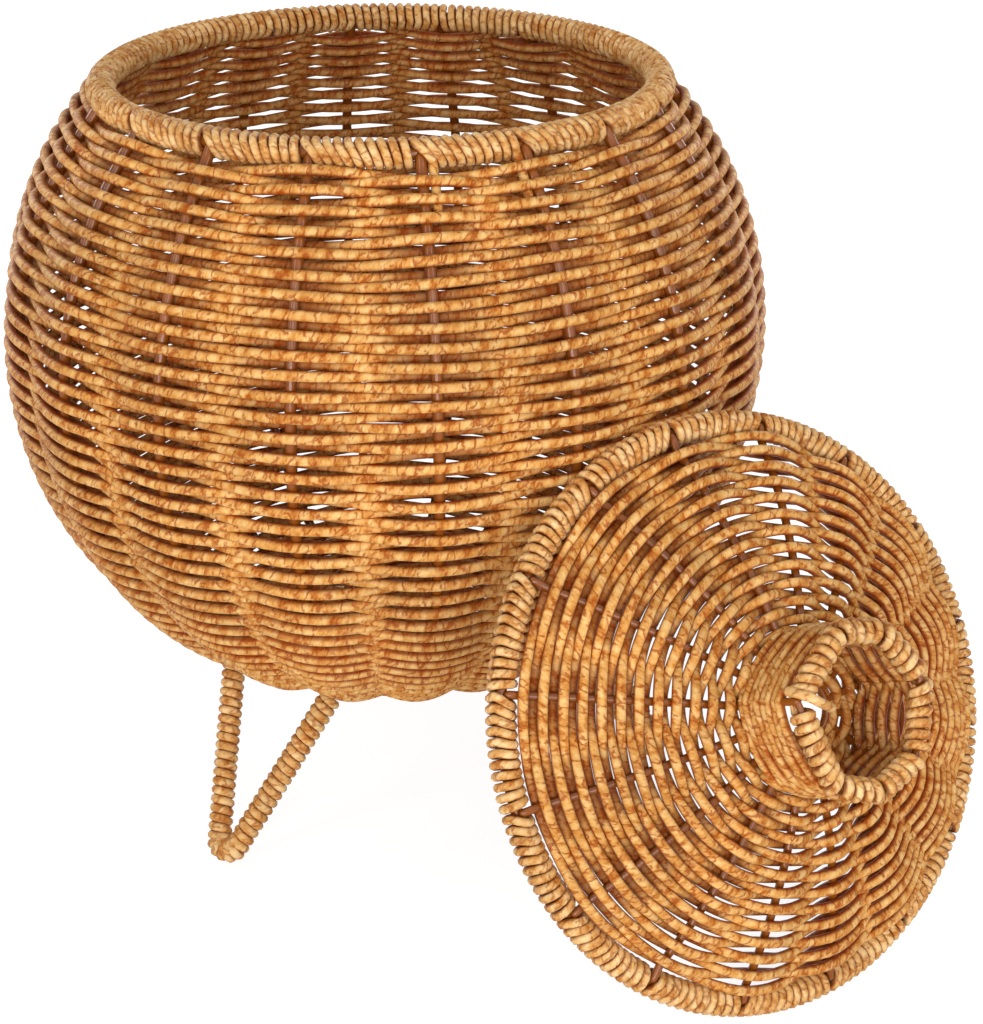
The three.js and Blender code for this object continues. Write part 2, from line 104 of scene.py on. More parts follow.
# Lid
lid_radius = 85.8
dome_rise = 27
lid_hub_radius = 8.5
spoke_count = 16
first_spoke = math.radians(3.4)
lid_rows = 29
dome_stray = 0.35
dome_shift = 0.12
lid_wrap = 9.2  # over the cord
lid_group = 11  # turns of the winding between two spokes
lid_gap = 4.0  # left for each spoke
inner_row_radius = 9.9

# Knob
knob_corner = 23.2
knob_corners = [math.radians(d) for d in (40, 97, 147, 184, 248, 319, 358)]
knob_turns = (6, 5, 4, 7, 8, 4, 5)  # of the winding, on the side after each corner
knob_gaps = (2.4, 3.0, 1.6, 1.6, 6.0, 1.8, 1.8)  # left bare at each corner
bare_corner = 4
knob_sides = len(knob_corners)
knob_height = 53
knob_wrap = 8.0  # over the cord
knob_cord = 3.0
knob_first_row = 27.9
knob_row_count = 8
knob_pitch = 2.68  # from one row to the next
knob_swing = 2.3
knob_beats = 8  # places round the wall where a row changes sides
row_rounding = 0.5  # how far the rows bow out from flat sides towards a circle
ring_rounding = 0.12

# Fineness of the runs
steps_per_rib = 10
steps_per_spoke = 8
steps_per_beat = 10
turn_steps = 12
ring_steps = 96
hub_steps = 48
cord_sides = 8
wire_sides = 10

millimetre = 0.001
full_turn = 2 * math.pi

# Sizes that follow
rib_radius = ball_diameter / 2 - weave_half
base_height = ground_clearance + weave_half
ball_height = base_height + math.sqrt(rib_radius**2 - base_radius**2)
mouth_latitude = math.acos(mouth_radius / rib_radius)
mouth_height = ball_height + rib_radius * math.sin(mouth_latitude)
mouth_wrap = mouth_wire + 2 * (rim_cord + rim_gap)
base_latitude = math.asin((base_height - ball_height) / rib_radius)
dome_radius = (lid_radius**2 + dome_rise**2) / (2 * dome_rise)
dome_centre = dome_rise - dome_radius
rim_latitude = math.acos(lid_radius / dome_radius)
hub_latitude = math.acos(lid_hub_radius / dome_radius)

# Places in the frame
ring_low, ring_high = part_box("mouth_ring")
basket_axis = (ring_low + ring_high) / 2
lid_low, lid_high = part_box("lid_ring")
lid_axis = Vector(frame["joints"][0]["axis"]).normalized()
lid_level = Vector((0, 0, 1)).cross(lid_axis).normalized()
lid_turn = Matrix((lid_level, lid_axis.cross(lid_level), lid_axis)).transposed().to_4x4()
in_metres = Matrix.Scale(millimetre, 4)
basket_place = Matrix.Translation((basket_axis.x, basket_axis.y, 0)) @ in_metres
lid_place = Matrix.Translation((lid_low + lid_high) / 2) @ lid_turn @ in_metres
body_places = {"basket": basket_place, "lid": lid_place}

draws = random.Random(18)


def around(radius, angle, height):
    """Point round an axis."""
    return Vector((radius * math.sin(angle), -radius * math.cos(angle), height))


class Run:
    """A line that a cord or a wire follows. Widths are shares of its thickness at each point. Facing is
    the way out of the weave or the winding there, and passing tells how far the cord lies on the outer
    side (1) or on the inner side (-1) of the wires.
    """

    def __init__(self, points, closed=False, widths=None, facing=None, passing=None):
        self.points = points
        self.closed = closed
        self.widths = widths or [1.0] * len(points)
        self.facing = facing
        self.passing = passing or [0.0] * len(points)

    def length(self):
        after = self.points[1:] + self.points[: 1 if self.closed else 0]
        return sum((b - a).length for a, b in zip(self.points, after))


def round_ended(points, thickness, facing=None, widths=None):
    """Run whose ends are domes."""
    dome = [math.radians(d) for d in (30, 60, 85)]
    onwards = (points[-1] - points[-2]).normalized() * thickness / 2
    back = (points[0] - points[1]).normalized() * thickness / 2
    head = [points[0] + back * math.sin(d) for d in reversed(dome)]
    tail = [points[-1] + onwards * math.sin(d) for d in dome]
    taper = [math.cos(d) for d in dome]
    widths = taper[::-1] + (widths or [1.0] * len(points)) + taper
    if facing:
        facing = [facing[0]] * len(dome) + facing + [facing[-1]] * len(dome)
    return Run(head + points + tail, widths=widths, facing=facing)


def tubes(name, runs, thickness, place, sides):
    """One mesh of round tubes. Its UV map holds millimetres along the tube and turns round it."""
    same_place = 1e-3 * millimetre  # points nearer than this are one
    lines = bpy.data.curves.new(name, "CURVE")
    lines.dimensions = "3D"
    lines.bevel_depth = thickness / 2 * millimetre
    lines.bevel_resolution = (sides - 4) // 2  # Blender gives a bevel four sides and two for each step
    lines.use_fill_caps = True
    for run in runs:
        spline = lines.splines.new("POLY")
        spline.points.add(len(run.points) - 1)
        placed = [place @ point for point in run.points]
        spline.points.foreach_set("co", [x for point in placed for x in (*point, 1.0)])
        spline.points.foreach_set("radius", run.widths)
        spline.use_cyclic_u = run.closed
    drawn = bpy.data.objects.new(name, lines)
    mesh = bpy.data.meshes.new_from_object(drawn)
    bpy.data.objects.remove(drawn)
    bpy.data.curves.remove(lines)
    mesh.name = name
    measure_cords(mesh, runs, sides)
    # painted shade of the creases, kept as a point attribute
    mark_painted_shade(mesh, runs, sides, place)
    shape = bmesh.new()
    shape.from_mesh(mesh)
    bmesh.ops.remove_doubles(shape, verts=shape.verts, dist=same_place)
    shape.to_mesh(mesh)
    shape.free()
    mesh.shade_smooth()
    return mesh


def measure_cords(mesh, runs, sides):
    """Stretches the UV map from shares of each run to millimetres, one run after the other."""
    map_layer = mesh.uv_layers[0]
    places = np.zeros(len(mesh.loops) * 2, np.float32)
    map_layer.data.foreach_get("uv", places)
    places = places.reshape(-1, 2)
    face_corners = 4
    counts = [(len(run.points) - (0 if run.closed else 1)) * sides * face_corners for run in runs]
    corner = len(mesh.loops) - sum(counts)  # the end caps come before the tubes
    laid = 0.0
    for run, count in zip(runs, counts):
        length = run.length()
        part = places[corner : corner + count]
        part[:, 0] = laid + part[:, 0] * length
        corner += count
        laid += length
    map_layer.data.foreach_set("uv", places.ravel())


def mark_painted_shade(mesh, runs, sides, place):
    """Keeps, as painted shade, how far each point turns from the face of the weave towards the cords
    beside it. A face that lies behind the wires counts as well, and so does, a little, the inside of the
    weave.
    """
    if not all(run.facing for run in runs):
        return
    turning = 3  # how sharply the outer half of a cord gives way to the inner half
    behind_turn = 0.36  # turn that a face behind the wires counts for in the painted shade, past its start
    inside_turn = 0.16
    turned = place.to_3x3().normalized()
    facing = np.array([turned @ way for run in runs for way in run.facing])
    places = np.zeros(len(mesh.vertices) * 3, np.float32)
    mesh.vertices.foreach_get("co", places)
    first = len(mesh.vertices) - sides * len(facing)  # the end caps come before the tubes
    rings = places.reshape(-1, 3)[first:].reshape(-1, sides, 3)
    out = rings - rings.mean(axis=1, keepdims=True)
    out /= np.linalg.norm(out, axis=2, keepdims=True)
    outward = (out * facing[:, None, :]).sum(axis=2)
    passing = np.array([side for run in runs for side in run.passing])
    behind = -passing[:, None] * np.clip(turning * outward, -1, 1)
    within = np.clip(-turning * outward, 0, 1)
    covered = painted_shade_start + np.maximum(behind_turn * behind, inside_turn * within)
    painted_shade = np.zeros(len(mesh.vertices), np.float32)
    painted_shade[first:] = np.maximum(1 - np.abs(outward), covered).ravel()
    mesh.attributes.new("painted_shade", "FLOAT", "POINT").data.foreach_set("value", painted_shade)


def lay(name, runs, thickness, stuff, body, *nodes):
    """Makes one piece of runs of cord or wire and puts it on its body, in place of the nodes it shows."""
    finish, slot, sides = stuff
    mesh = tubes(name, runs, thickness, body_places[body], sides)
    mesh.materials.append(finish)
    made = bpy.data.objects.new(name, mesh)
    bpy.context.scene.collection.objects.link(made)
    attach(made, body)
    if nodes:
        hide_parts(*nodes)


# Materials


def paint(red, green, blue):
    """Linear colour from an sRGB one."""
    shares = [value / 255 for value in (red, green, blue)]
    return (*[s / 12.92 if s <= 0.04045 else ((s + 0.055) / 1.055) ** 2.4 for s in shares], 1.0)


class Nodes:
    """The node tree of a material or the world, with short ways to add to it."""

    def __init__(self, owner):
        owner.use_nodes = True
        self.tree = owner.node_tree
        self.tree.nodes.clear()

    def add(self, kind, inputs=None, **settings):
        node = self.tree.nodes.new(kind)
        for key, value in settings.items():
            setattr(node, key, value)
        for key, value in (inputs or {}).items():
            self.feed(node.inputs[key], value)
        return node

    def feed(self, socket, value):
        if isinstance(value, bpy.types.NodeSocket):
            self.tree.links.new(value, socket)
        else:
            socket.default_value = value

    def math(self, operation, *values):
        node = self.add("ShaderNodeMath", operation=operation)
        for socket, value in zip(node.inputs, values):
            self.feed(socket, value)
        return node.outputs[0]

    def vector(self, x, y, z):
        return self.add("ShaderNodeCombineXYZ", {0: x, 1: y, 2: z}).outputs[0]

    def spread(self, value, low, high, to_low=0.0, to_high=1.0, smooth=False):
        kind = "SMOOTHSTEP" if smooth else "LINEAR"
        inputs = {0: value, 1: low, 2: high, 3: to_low, 4: to_high}
        return self.add("ShaderNodeMapRange", inputs, interpolation_type=kind).outputs[0]

    def noise(self, vector, scale, detail=2.0, roughness=0.5):
        inputs = {"Vector": vector, "Scale": scale, "Detail": detail, "Roughness": roughness}
        return self.add("ShaderNodeTexNoise", inputs).outputs[0]

    def ramp(self, value, stops):
        node = self.add("ShaderNodeValToRGB", {0: value})
        elements = node.color_ramp.elements
        while len(elements) < len(stops):
            elements.new(1.0)
        for element, (position, colour) in zip(elements, stops):
            element.position = position
            element.color = colour
        return node.outputs[0]

    def mix(self, share, first, second, blend="MIX"):
        node = self.add("ShaderNodeMix", data_type="RGBA", blend_type=blend)
        self.feed(node.inputs[0], share)
        self.feed(node.inputs[6], first)
        self.feed(node.inputs[7], second)
        return node.outputs[2]

    def surface(self, colour, roughness, bump, shine):
        """The shader that a material ends in."""
        inputs = {"Base Color": colour, "Roughness": roughness, "Normal": bump.outputs[0]}
        shader = self.add("ShaderNodeBsdfPrincipled", inputs)
        shader.inputs["Specular IOR Level"].default_value = shine
        self.add("ShaderNodeOutputMaterial", {0: shader.outputs[0]})


def marbled_cord(name, pale, tan, russet, vein_and_shade_brown, veins):
    """Twisted paper cord: patches of pale and tan with brown veins between them, laid along the twist, and
    painted shade, brown, in the creases between neighbouring cords. Scales are for a millimetre of cord.
    """
    twist_length = 13  # millimetres for one turn of the twist
    warp_scale = 0.6
    warp_reach = 2.4
    patch_scale = 0.27
    break_scale = 0.7  # of the noise that breaks the veins
    fleck_scale = 1.6
    cloud_scale = 0.3
    drift_scale = 26.0  # for a metre of the basket
    vein_width = 0.09
    blush_width = 0.17
    cloud_share = 1.35
    fleck_share = -0.42
    # painted shade in the creases: the turn at which it is deepest, and how far it goes to the brown
    deepest_painted_shade = 0.92
    painted_shade_strength = 0.88
    vein_height = -0.8
    fleck_height = 0.6
    relief = 0.00025  # metres
    shine = 0.12

    material = bpy.data.materials.new(name)
    nodes = Nodes(material)
    place = nodes.add("ShaderNodeSeparateXYZ", {0: nodes.add("ShaderNodeUVMap").outputs[0]})
    along, turn = place.outputs[0], place.outputs[1]
    twist = nodes.math("ADD", turn, nodes.math("DIVIDE", along, twist_length))
    angle = nodes.math("MULTIPLY", twist, full_turn)
    across, upright = nodes.math("COSINE", angle), nodes.math("SINE", angle)
    skin = nodes.vector(across, upright, along)
    everywhere = nodes.add("ShaderNodeTexCoord").outputs["Object"]

    warp = nodes.add("ShaderNodeTexNoise", {"Vector": skin, "Scale": warp_scale, "Detail": 2.0}).outputs[1]
    warp = nodes.add("ShaderNodeVectorMath", {0: warp, "Scale": warp_reach}, operation="SCALE").outputs[0]
    warped = nodes.add("ShaderNodeVectorMath", {0: skin, 1: warp}, operation="ADD").outputs[0]
    cells = {"Vector": warped, "Scale": patch_scale}
    patches = nodes.add("ShaderNodeTexVoronoi", cells, feature="DISTANCE_TO_EDGE")
    edge = patches.outputs["Distance"]
    flecks = nodes.noise(skin, fleck_scale, detail=3.0, roughness=0.62)
    clouds = nodes.noise(skin, cloud_scale, detail=3.0, roughness=0.6)
    drift = nodes.noise(everywhere, drift_scale)
    broken = nodes.spread(nodes.noise(skin, break_scale, detail=1.0), 0.40, 0.56, to_low=0.1)
    vein = nodes.spread(edge, 0.0, vein_width, to_low=0.72, to_high=0.0, smooth=True)
    vein = nodes.math("MULTIPLY", vein, broken)
    blush = nodes.spread(edge, 0.01, blush_width, to_low=0.9, to_high=0.0, smooth=True)
    blush = nodes.math("MULTIPLY", blush, broken)

    cloudy = nodes.math("MULTIPLY", clouds, cloud_share)
    tone = nodes.math("ADD", cloudy, nodes.math("MULTIPLY", flecks, fleck_share))
    body = nodes.ramp(tone, [(0.17, russet), (0.40, tan), (0.66, pale)])
    body = nodes.mix(nodes.math("MULTIPLY", blush, veins), body, russet)
    body = nodes.mix(nodes.math("MULTIPLY", vein, veins), body, vein_and_shade_brown)
    # painted shade: brown mixed in where cords turn into the creases between them, lie behind the wires or
    # face the inside of the weave
    painted_shade_turn = nodes.add("ShaderNodeAttribute", attribute_name="painted_shade").outputs["Fac"]
    brown = nodes.spread(painted_shade_turn, painted_shade_start, deepest_painted_shade, to_high=painted_shade_strength, smooth=True)
    body = nodes.mix(brown, body, vein_and_shade_brown)
    shade = nodes.spread(drift, 0.3, 0.7, to_low=0.88, to_high=1.08)
    colour = nodes.mix(1.0, body, nodes.vector(shade, shade, shade), blend="MULTIPLY")

    sunk = nodes.math("MULTIPLY", vein, vein_height)
    height = nodes.math("ADD", sunk, nodes.math("MULTIPLY", flecks, fleck_height))
    bump = nodes.add("ShaderNodeBump", {"Strength": 0.7, "Distance": relief, "Height": height})
    nodes.surface(colour, nodes.spread(flecks, 0.3, 0.7, to_low=0.40, to_high=0.54), bump, shine)
    return material


def coated_wire():
    """Steel wire with a glossy brown coat. Scales are for a metre of the basket."""
    drift_scale = 60.0
    grain_scale = 900.0
    relief = 0.0001  # metres
    shine = 0.35

    material = bpy.data.materials.new("coated_wire")
    nodes = Nodes(material)
    everywhere = nodes.add("ShaderNodeTexCoord").outputs["Object"]
    drift = nodes.noise(everywhere, drift_scale)
    grain = nodes.noise(everywhere, grain_scale)
    colour = nodes.ramp(drift, [(0.3, paint(122, 62, 16)), (0.7, paint(146, 80, 24))])
    bump = nodes.add("ShaderNodeBump", {"Strength": 0.15, "Distance": relief, "Height": grain})
    nodes.surface(colour, nodes.spread(drift, 0.3, 0.7, to_low=0.10, to_high=0.20), bump, shine)
    return material


woven_finish = marbled_cord(
    "woven_cord",
    pale=paint(226, 182, 116),
    tan=paint(206, 146, 73),
    russet=paint(168, 88, 20),
    # brown of the veins, and of the painted shade in the creases
    vein_and_shade_brown=paint(142, 48, 2),
    veins=0.75,
)
wound_finish = marbled_cord(
    "wound_cord",
    pale=paint(231, 194, 138),
    tan=paint(211, 158, 92),
    russet=paint(174, 102, 34),
    # brown of the veins, and of the painted shade in the creases
    vein_and_shade_brown=paint(134, 52, 4),
    veins=0.6,
)
wire_finish = coated_wire()

# What a tube is made of: its finish, its slot and the sides of its section
woven = (woven_finish, "cord", cord_sides)
wound = (wound_finish, "cord", cord_sides)
wire = (wire_finish, "wire", wire_sides)


# Basket


def on_ball(offset, latitude, angle):
    """Point of the ball, at an offset out from the middle of the ribs."""
    radius = rib_radius + offset
    return around(radius * math.cos(latitude), angle, ball_height + radius * math.sin(latitude))


row_phases = [(waves, draws.uniform(0, full_turn), draws.uniform(0.2, 0.5)) for waves in (2, 3, 5, 8)]


def wander(row, angle, reach):
    """How far a row strays along the wall or the dome. Neighbours stray almost together."""
    waves = [math.sin(count * angle + start + row * change) for count, start, change in row_phases]
    return reach * sum(waves) / len(waves)


row_start = 1.4  # above the base ring
row_end = 2.0  # below the winding of the mouth
first_row = base_latitude + row_start / rib_radius
last_row = mouth_latitude - (mouth_wrap / 2 + row_end) / rib_radius
row_shifts = [draws.uniform(-row_shift, row_shift) for _ in range(wall_rows)]


def wall_row(row):
    """One row of the wall, which passes outside one rib and inside the next. The rows near the mouth stray
    the most.
    """
    side = 1 if row % 2 else -1
    share = row / (wall_rows - 1)
    latitude = first_row + (last_row - first_row) * share
    reach = row_stray + mouth_stray * share**stray_rise
    points = []
    widths = []
    facing = []
    passing = []
    for step in range(rib_count * steps_per_rib):
        angle = first_rib + step * full_turn / (rib_count * steps_per_rib)
        beat = math.cos(step * math.pi / steps_per_rib)
        stray = wander(row, angle, reach) + row_shifts[row]
        points.append(on_ball(side * swing * beat, latitude + stray / rib_radius, angle))
        widths.append(wall_squeeze + (1 - wall_squeeze) * abs(beat))
        facing.append(around(math.cos(latitude), angle, math.sin(latitude)))
        passing.append(side * beat)
    return Run(points, closed=True, widths=widths, facing=facing, passing=passing)


def ring(radius, height, steps=ring_steps):
    return Run([around(radius, i * full_turn / steps, height) for i in range(steps)], closed=True)


def base_rows():
    """The base: flat turns inside its hub ring and one long spiral woven over its spokes."""
    down = Vector((0, 0, -1))
    rows = []
    for turn in range(hub_turns):
        row = ring(cord * (turn + 0.5), base_height, hub_steps)
        row.facing = [down] * len(row.points)
        rows.append(row)
    spiral = []
    steps = base_spoke_count * steps_per_rib
    pitch = 1.05 * cord  # a little loose
    start = hub_radius + 0.9 * cord  # close against the hub ring
    turns = int((base_radius - hub_radius - cord) / pitch)
    for step in range(turns * steps + 1):
        turn = step / steps
        out = swing * math.cos(step * math.pi / steps_per_rib)
        radius = start + pitch * turn
        spiral.append(around(radius, first_rib + full_turn * turn, base_height + out))
    rows.append(round_ended(spiral, cord, [down] * len(spiral)))
    return rows


def rib_angle(index):
    return first_rib + index * full_turn / rib_count


def rib(index):
    """A rib, from the base ring up to the mouth ring. Its end leans out of the wall."""
    steps = 40
    bend = 7  # below the mouth ring, where the end begins
    tip = 2.0  # below the mouth ring, where it stops
    lean = 0.1 * (mouth_wire + rib_wire)  # a fifth of the way to the outside of the mouth ring
    end_shares = (0.35, 0.7, 1.0)
    top = mouth_latitude - bend / rib_radius
    latitudes = [base_latitude + (top - base_latitude) * step / steps for step in range(steps + 1)]
    points = [on_ball(0, latitude, rib_angle(index)) for latitude in latitudes]
    for share in end_shares:
        up = top + (mouth_latitude - tip / rib_radius - top) * share
        points.append(on_ball(lean * share**2, up, rib_angle(index)))
    return round_ended(points, rib_wire)


def wedge(roll):
    """How far a turn has opened: nothing on the far side, all of it where the wire comes in."""
    parting = 0.35  # cosine of the roll at which the turns begin to part
    return min(max((parting - math.cos(roll)) / (1 + parting), 0.0), 1.0)


def wound_ring(radius, height, reach, entry, groups, turns, gap, first):
    """Cord wound round a ring, in one closed run. The turns part for each wire where it comes in, from the
    direction of entry, and lie against each other on the other side.
    """
    points = []
    facing = []
    count = groups * turns
    step_angle = full_turn / count
    for turn in range(count):
        for step in range(turn_steps):
            share = step / turn_steps
            roll = full_turn * share
            left = 1 - (turn % turns + share) / turns
            parted = gap / radius * left * wedge(roll)
            angle = first - gap / 2 / radius + step_angle * (turn + share) + parted
            direction = entry + math.pi - roll
            way = around(math.cos(direction), angle, math.sin(direction))
            points.append(around(radius, angle, height) + reach * way)
            facing.append(way)
    return Run(points, closed=True, facing=facing)


def rim_tail(index, side):
    """The end of the rim's cord, tucked down beside a rib."""
    steps = 9
    start = 2.0  # below the mouth ring
    start_out = 1.0  # of the middle of the wall
    step_down = 1.9
    step_in = 0.12
    beside = side * (rib_wire + cord) / 2 / mouth_radius
    points = []
    for step in range(steps):
        latitude = mouth_latitude - (start + step_down * step) / rib_radius
        points.append(on_ball(start_out - step_in * step, latitude, rib_angle(index) + beside))
    return round_ended(points, cord)


def hairpin(index):
    """Centre line of a leg's wire, from one end on the base ring round the toe to the other end."""
    angle = first_leg + index * full_turn / leg_count
    toe = around(foot_radius, angle, leg_wrap / 2 - foot_flat)
    sideways = Vector((math.cos(angle), math.sin(angle), 0))
    middle = around(base_radius * math.cos(leg_spread / 2), angle, base_height)
    upwards = (middle - toe).normalized()
    height = (middle - toe).length
    half = base_radius * math.sin(leg_spread / 2)
    reach = math.hypot(half, height - toe_bend)
    tangent = math.atan2(height - toe_bend, half) - math.acos(toe_bend / reach)
    line = [(-half, height)]
    steps = 16
    for step in range(steps + 1):
        turn = -math.pi - tangent + (math.pi + 2 * tangent) * step / steps
        line.append((toe_bend * math.cos(turn), toe_bend + toe_bend * math.sin(turn)))
    line.append((half, height))
    return [toe + sideways * x + upwards * y for x, y in line]


def wound_leg(line):
    """Cord wound along a hairpin, from where it leaves the weave to where it goes back in."""
    ends = 2.6  # left bare
    bend_width = 1.12  # of the fanned turns round the toe, as a share
    bend_pitch = 1.95
    reach = (leg_wrap - leg_cord) / 2
    ways = [(b - a).normalized() for a, b in zip(line, line[1:])]
    lengths = [0.0]
    for a, b in zip(line, line[1:]):
        lengths.append(lengths[-1] + (b - a).length)
    bend_start, bend_end = lengths[1], lengths[-2]
    toe = line[len(line) // 2]
    normal = (line[0] - toe).cross(line[-1] - toe).normalized()

    def at(distance):
        """Place at a distance along the line, and the way the line runs there, smoothed in the bend."""
        last = len(ways) - 1
        part = next((i for i in range(last) if distance <= lengths[i + 1]), last)
        span = lengths[part + 1] - lengths[part]
        share = (distance - lengths[part]) / span
        here = line[part].lerp(line[part + 1], share)
        way = ways[part]
        if span < toe_bend:
            before, after = ways[max(part - 1, 0)], ways[min(part + 1, last)]
            way = (before + way).lerp(way + after, share).normalized()
        return here, way

    points = []
    facing = []
    widths = []
    distance = ends
    roll = 0.0
    while distance < lengths[-1] - ends:
        here, run = at(distance)
        way = math.cos(roll) * run.cross(normal).normalized() + math.sin(roll) * normal
        point = here + reach * way
        point.z = max(point.z, leg_cord / 2 * bend_width)
        points.append(point)
        facing.append(way)
        bent = bend_start < distance < bend_end
        widths.append(bend_width if bent else 1.0)
        distance += (bend_pitch if bent else leg_pitch) / turn_steps
        roll += full_turn / turn_steps
    return round_ended(points, leg_cord, facing, widths)


def basket():
    body = "basket"
    rows = [wall_row(row) for row in range(wall_rows)]
    half = wall_rows // 2
    lay("wall_lower", rows[:half], wall_cord, woven, body, "body_weave")
    lay("wall_upper", rows[half:], wall_cord, woven, body, "body_weave")
    lay("base_weave", base_rows(), cord, woven, body, "body_weave")

    entry = mouth_latitude - math.pi / 2
    reach = (mouth_wrap - rim_cord) / 2
    winding = wound_ring(
        mouth_radius, mouth_height, reach, entry, rib_count, mouth_group, mouth_gap, first_rib
    )
    lay("mouth_wound", [winding], rim_cord, wound, body, "mouth_wrap")
    lay("mouth_wire", [ring(mouth_radius, mouth_height)], mouth_wire, wire, body, "mouth_ring")
    tails = [rim_tail(index, side) for index, side in rim_tail_places]
    lay("rim_tails", tails, cord, woven, body)

    for index in range(rib_count):
        name = f"rib_{index + 1:02d}"
        lay(f"{name}_wire", [rib(index)], rib_wire, wire, body, name)

    spokes = []
    for index in range(base_spoke_count):
        angle = first_rib + index * full_turn / base_spoke_count
        spokes.append(Run([around(r, angle, base_height) for r in (hub_radius, base_radius)]))
    rings = [ring(base_radius, base_height), ring(hub_radius, base_height, hub_steps)]
    lay("base_wires", rings + spokes, rib_wire, wire, body, "base_frame")

    for index in range(leg_count):
        number = index + 1
        line = hairpin(index)
        lay(f"leg_{number}_wire", [Run(line)], leg_wrap - 2 * leg_cord, wire, body, f"leg_wire_{number}")
        hidden = [f"leg_wrap_{number}_left", f"leg_wrap_{number}_right", f"toe_wrap_{number}"]
        lay(f"leg_{number}_wound", [wound_leg(line)], leg_cord, wound, body, *hidden)


# Lid


def on_dome(offset, latitude, angle):
    """Point of the dome, at an offset out from the middle of the spokes."""
    radius = dome_radius + offset
    return around(radius * math.cos(latitude), angle, dome_centre + radius * math.sin(latitude))


dome_first = math.acos(inner_row_radius / dome_radius)
dome_row_end = 1.6  # above the winding of the lid's edge
dome_last = rim_latitude + (lid_wrap / 2 + dome_row_end) / dome_radius
dome_shifts = [draws.uniform(-dome_shift, dome_shift) for _ in range(lid_rows)]


def dome_row(row):
    """One row of the dome, pressed narrower midway between two spokes. Inside the knob a row passes two
    spokes at a time.
    """
    full_room = 11  # between two spokes, for a row to swing its whole way
    side = 1 if row % 2 else -1
    latitude = dome_first + (dome_last - dome_first) * row / (lid_rows - 1)
    room = dome_radius * math.cos(latitude) * full_turn / spoke_count
    lift = swing * min(room / full_room, 1.0)
    inside_knob = dome_radius * math.cos(latitude) < knob_corner - cord
    points = []
    widths = []
    facing = []
    passing = []
    for step in range(spoke_count * steps_per_spoke):
        angle = first_spoke + step * full_turn / (spoke_count * steps_per_spoke)
        beat = math.cos(step * math.pi / steps_per_spoke)
        if inside_knob:
            beat = math.cos((step / steps_per_spoke - 0.5) * math.pi / 2)  # over two spokes, under two
        stray = wander(row, angle, dome_stray) + dome_shifts[row]
        points.append(on_dome(side * lift * beat, latitude + stray / dome_radius, angle))
        widths.append(dome_squeeze + (1 - dome_squeeze) * abs(beat))
        facing.append(around(math.cos(latitude), angle, math.sin(latitude)))
        passing.append(side * beat)
    return Run(points, closed=True, widths=widths, facing=facing, passing=passing)


def spoke(index):
    """A spoke, from the hub ring down the dome and over the front of the rim's ring."""
    steps = 20
    bend = 6  # above the rim's ring, where the end leaves the dome
    end = ((2.4, 0.2), (0.8, -0.3))  # inside the ring's radius, and off its front
    angle = first_spoke + index * full_turn / spoke_count
    foot = rim_latitude + bend / dome_radius
    latitudes = [hub_latitude + (foot - hub_latitude) * step / steps for step in range(steps + 1)]
    points = [on_dome(0, latitude, angle) for latitude in latitudes]
    front = (lid_wire + spoke_wire) / 2
    points += [around(lid_radius - inside, angle, front + off) for inside, off in end]
    return round_ended(points, spoke_wire)


def knob_side(side):
    """Angles at which a side of the knob starts and ends."""
    start = knob_corners[side]
    end = knob_corners[(side + 1) % knob_sides]
    return start, end + (full_turn if end < start else 0)


def knob_point(side, share, offset, height, rounding=0.0):
    """Point on the knob's wall, at a share of one of its sides. Rounding bends the side out towards a
    circle.
    """
    start, end = knob_side(side)
    flat = around(knob_corner, start, height).lerp(around(knob_corner, end, height), share)
    bowed = around(knob_corner, start + (end - start) * share, height)
    place = flat.lerp(bowed, rounding)
    return place + Vector((place.x, place.y, 0)).normalized() * offset


def knob_row(row):
    """One row of the knob's wall, which passes outside at one place and inside at the next. The rows lie
    tightest at the bare corner and sag beside it.
    """
    mean_slack = 0.55
    slack_change = 0.45
    deepest_sag = 1.5
    sag_angle = 0.6  # past the bare corner
    side = 1 if row % 2 else -1
    points = []
    facing = []
    passing = []
    steps = steps_per_beat * knob_beats
    for step in range(steps):
        past = full_turn * step / steps
        angle = knob_corners[bare_corner] + past
        slack = mean_slack - slack_change * math.cos(past)
        beat = slack * math.cos(knob_beats / 2 * past)
        sag = deepest_sag * max(math.cos(past - sag_angle), 0) * row / knob_row_count
        height = knob_first_row + knob_pitch * row - sag
        for corner in range(knob_sides):
            start, end = knob_side(corner)
            share = (angle - start) % full_turn / (end - start)
            if share < 1:
                points.append(knob_point(corner, share, side * knob_swing * beat, height, row_rounding))
        facing.append(around(1, angle, 0))
        passing.append(side * beat)
    return Run(points, closed=True, facing=facing, passing=passing)


def knob_winding():
    """Cord wound round the knob's ring, side by side, with its corners left bare."""
    reach = (knob_wrap - knob_cord) / 2
    points = []
    facing = []
    for side, turns in enumerate(knob_turns):
        start, end = knob_side(side)
        length = 2 * knob_corner * math.sin((end - start) / 2)
        first = knob_gaps[side] / 2 / length
        last = 1 - knob_gaps[(side + 1) % knob_sides] / 2 / length
        for step in range(turns * turn_steps):
            share = first + (last - first) * step / (turns * turn_steps - 1)
            direction = -math.pi / 2 - full_turn * step / turn_steps
            middle = knob_point(side, share, 0, knob_height, ring_rounding)
            outwards = Vector((middle.x, middle.y, 0)).normalized()
            way = outwards * math.cos(direction) + Vector((0, 0, math.sin(direction)))
            points.append(middle + reach * way)
            facing.append(way)
    return Run(points, closed=True, facing=facing)


def knob_tail():
    """The end of the knob's winding, laid over the ring at a corner and into the hollow. Its points are
    radius, degrees from the corner and height.
    """
    corner = knob_corners[bare_corner]
    outside = [(25.4, -6, 51.6), (25.0, -5, 55.0), (22.4, -3.5, 57.2)]
    inside = [(18.6, -1.5, 56.6), (14.6, 0, 54.6), (10.4, 2, 52.2)]
    return round_ended([around(r, corner + math.radians(d), h) for r, d, h in outside + inside], knob_cord)


